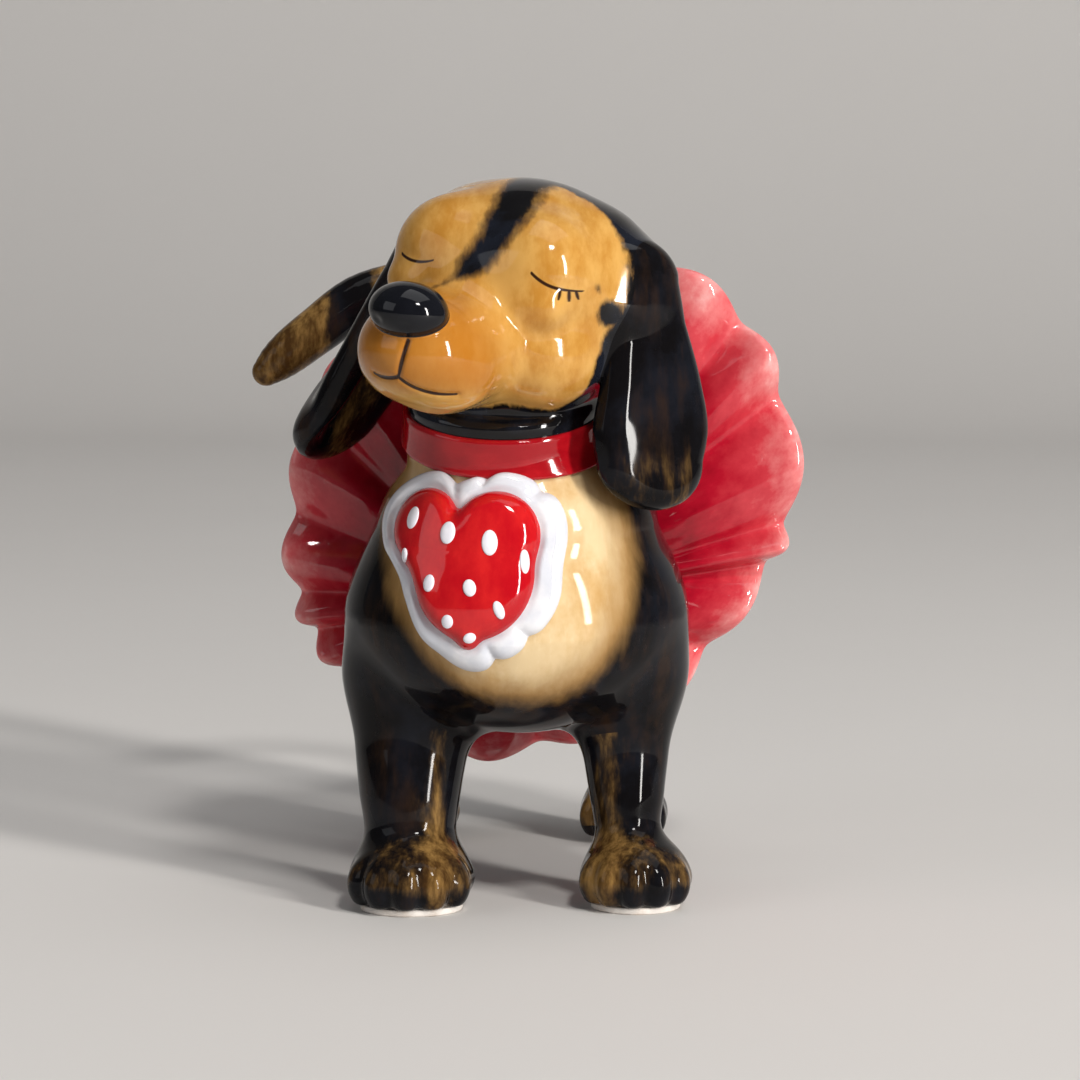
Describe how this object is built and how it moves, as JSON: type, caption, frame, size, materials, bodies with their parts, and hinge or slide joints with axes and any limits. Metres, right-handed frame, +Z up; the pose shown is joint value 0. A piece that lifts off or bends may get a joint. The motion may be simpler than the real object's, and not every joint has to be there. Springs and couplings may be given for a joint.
{
  "type": "ceramic dog figurine",
  "caption": "Standing glazed ceramic dachshund ornament with its head turned, closed eyes, a red collar, a seeded heart on its chest and a ruffled pink tutu.",
  "frame": {"origin": "on the table, under the middle of the figurine's box", "axes": "+X towards the dog's own left, -Y the way the dog walks, +Z up"},
  "size_m": [0.1222, 0.1626, 0.1475],
  "materials": {
    "painted_coat": "black underglaze brushed with tan under a clear gloss glaze",
    "painted_face": "ochre underglaze with brush marks under a clear gloss glaze",
    "nose_glaze": "black gloss glaze",
    "collar_glaze": "deep red gloss glaze",
    "tutu_glaze": "crimson fading to pale pink at the rim under a clear gloss glaze",
    "frill_glaze": "white gloss glaze",
    "heart_glaze": "bright red gloss glaze",
    "seed_glaze": "raised white slip under a gloss glaze",
    "bare_clay": "unglazed white earthenware, wiped clean"
  },
  "bodies": {
    "root": {"torso": "painted_coat", "head": "painted_face", "nose": "nose_glaze", "left_ear": "painted_coat", "right_ear": "painted_coat", "collar": "collar_glaze", "tutu": "tutu_glaze", "tail": "painted_coat", "heart_frill": "frill_glaze", "heart": "heart_glaze", "heart_seeds": "seed_glaze", "front_left_leg": "painted_coat", "front_right_leg": "painted_coat", "hind_left_leg": "painted_coat", "hind_right_leg": "painted_coat", "front_left_sole": "bare_clay", "front_right_sole": "bare_clay", "hind_left_sole": "bare_clay", "hind_right_sole": "bare_clay"}
  },
  "joints": []
}
